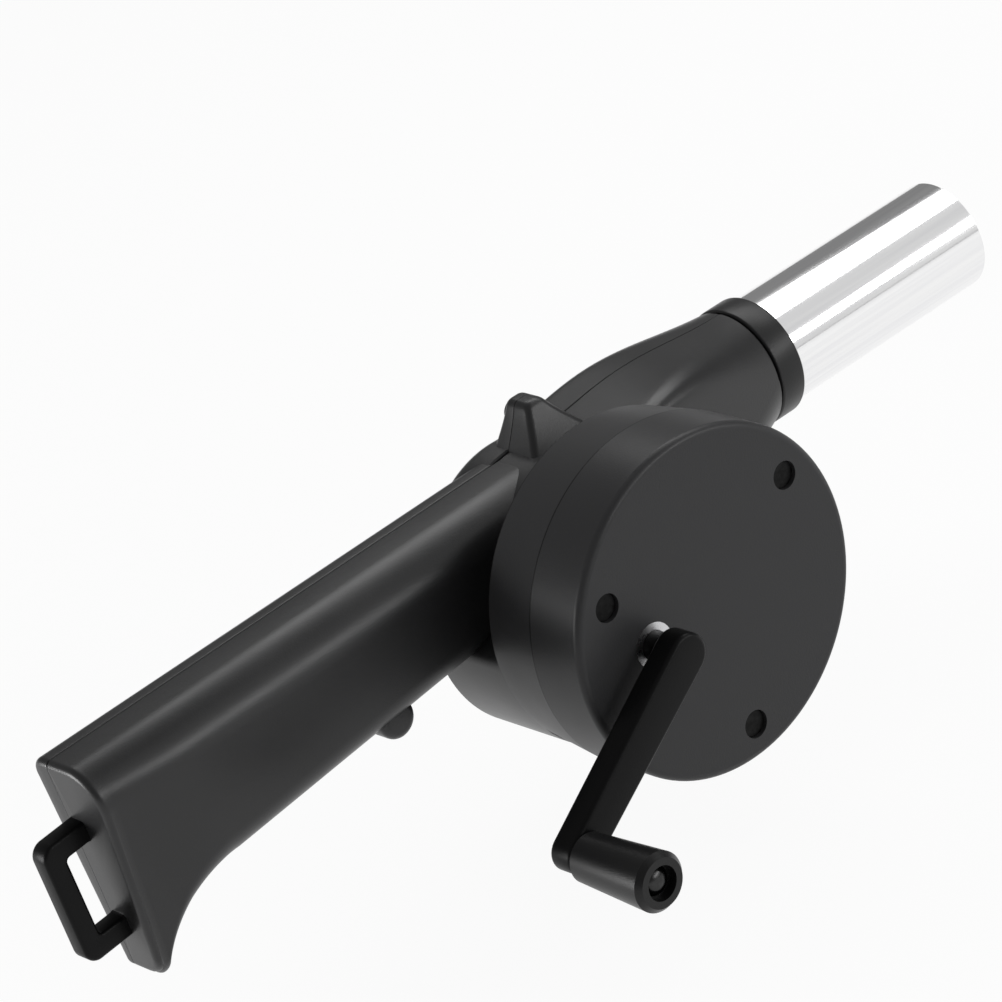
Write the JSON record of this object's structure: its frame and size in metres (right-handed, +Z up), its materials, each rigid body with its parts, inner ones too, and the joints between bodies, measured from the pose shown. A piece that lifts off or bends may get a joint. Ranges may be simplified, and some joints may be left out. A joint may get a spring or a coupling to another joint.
{
  "type": "hand crank blower",
  "caption": "Hand-held crank blower with a pistol-shaped black plastic body, a round fan drum with a crank and knob on its side, a hanging loop and a bright steel nozzle tube.",
  "frame": {"origin": "middle of the blower's bounding box at rest", "axes": "+X along the nozzle to its mouth, +Z up towards the hump on the body, -Y towards the crank"},
  "size_m": [0.2534, 0.0968, 0.071],
  "materials": {
    "black_plastic": "moulded satin black",
    "steel_tube": "polished",
    "steel": "turned",
    "bush_brass": "plain",
    "gear_nylon": "moulded nylon",
    "fan_plastic": "moulded black",
    "knob_plastic": "moulded satin black"
  },
  "bodies": {
    "body": {"housing_right": "black_plastic", "housing_left": "black_plastic", "gear_case": "black_plastic", "gear_cover": "black_plastic", "nozzle_collar": "black_plastic", "nozzle_tube": "steel_tube", "hanging_loop": "black_plastic", "cover_screws": "steel", "body_screws": "steel", "crank_bush_front": "black_plastic", "crank_bush_rear": "bush_brass", "fan_bush_case": "bush_brass", "fan_bush_inlet": "bush_brass", "idler_axle": "steel"},
    "crank": {"crank_shaft": "steel", "crank_arm": "knob_plastic", "drive_gear": "gear_nylon", "shaft_clip": "steel", "knob_pin": "steel"},
    "knob": {"crank_knob": "knob_plastic"},
    "idler": {"idler_gear": "gear_nylon"},
    "fan": {"fan_shaft": "steel", "fan_pinion": "gear_nylon", "fan_wheel": "fan_plastic"}
  },
  "joints": [
    {"name": "crank_turn", "type": "hinge", "parent": "body", "child": "crank", "pos_m": [-0.01278, -0.017, 0], "axis": [0, -1, 0], "continuous": true},
    {"name": "knob_spin", "type": "hinge", "parent": "crank", "child": "knob", "pos_m": [-0.04864, -0.017, -0.02373], "axis": [0, -1, 0], "continuous": true},
    {"name": "idler_turn", "type": "hinge", "parent": "body", "child": "idler", "pos_m": [-0.00428, -0.017, 0.01355], "axis": [0, -1, 0], "continuous": true},
    {"name": "fan_turn", "type": "hinge", "parent": "body", "child": "fan", "pos_m": [0.00422, -0.017, 0], "axis": [0, -1, 0], "continuous": true}
  ],
  "couplings": [
    {"joint": "idler_turn", "follows": "crank_turn", "ratio": -2.3333},
    {"joint": "fan_turn", "follows": "crank_turn", "ratio": 5.4444}
  ]
}
